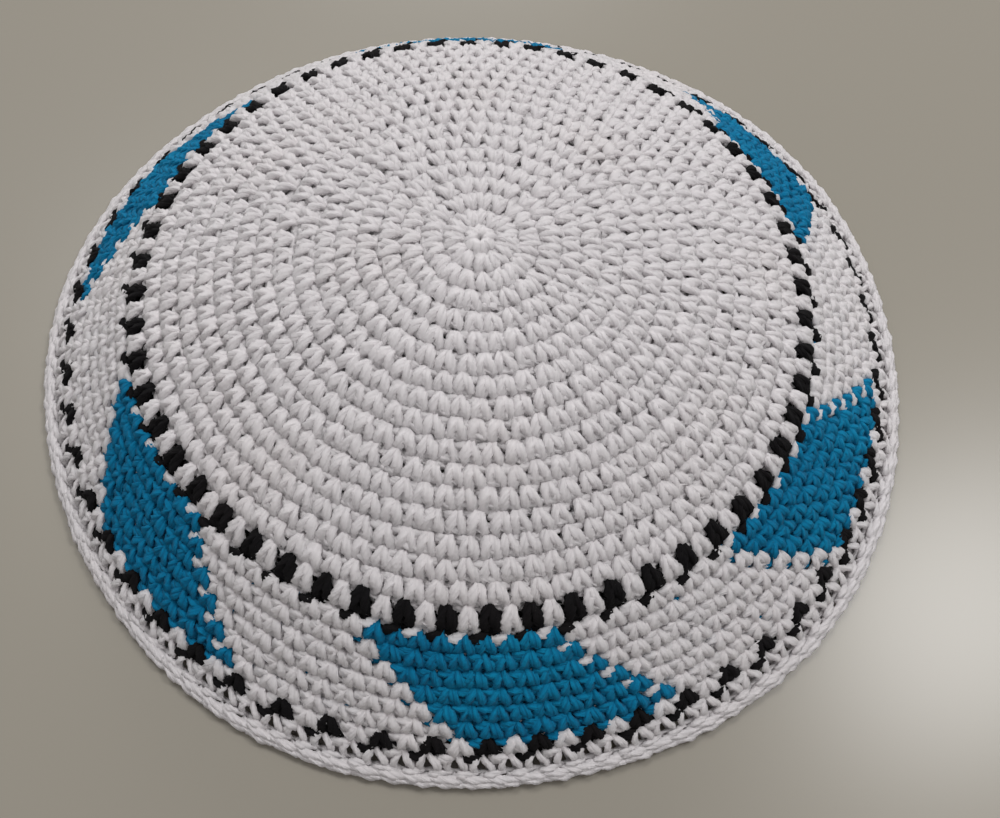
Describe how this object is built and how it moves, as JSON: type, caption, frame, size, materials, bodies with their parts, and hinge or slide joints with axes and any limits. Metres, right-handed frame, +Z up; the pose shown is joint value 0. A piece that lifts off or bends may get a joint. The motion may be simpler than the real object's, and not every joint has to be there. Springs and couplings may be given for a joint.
{
  "type": "kippah skullcap",
  "caption": "Shallow round crocheted skullcap with a ribbed white crown, a slanted two-colour band between contrast rounds, and a rolled edge; worn on the crown of the head",
  "frame": {"origin": "middle of the box round the cap, on the plane that the rolled edge rests on", "axes": "+Z up through the middle of the crown, the open side facing -Z; -Y is the side nearest the camera in the picture, and +X is to its right"},
  "size_m": [0.1594, 0.157, 0.0356],
  "materials": {
    "white_cotton": "matte cotton yarn in single crochet",
    "teal_cotton": "matte cotton yarn in single crochet",
    "black_cotton": "matte cotton yarn in single crochet"
  },
  "bodies": {
    "root": {"crown": "white_cotton", "inner_contrast_round": "black_cotton", "outer_contrast_round": "black_cotton", "edging": "white_cotton", "teal_motif_1": "teal_cotton", "white_field_1": "white_cotton", "teal_motif_2": "teal_cotton", "white_field_2": "white_cotton", "teal_motif_3": "teal_cotton", "white_field_3": "white_cotton", "teal_motif_4": "teal_cotton", "white_field_4": "white_cotton", "teal_motif_5": "teal_cotton", "white_field_5": "white_cotton", "teal_motif_6": "teal_cotton", "white_field_6": "white_cotton"}
  },
  "joints": []
}
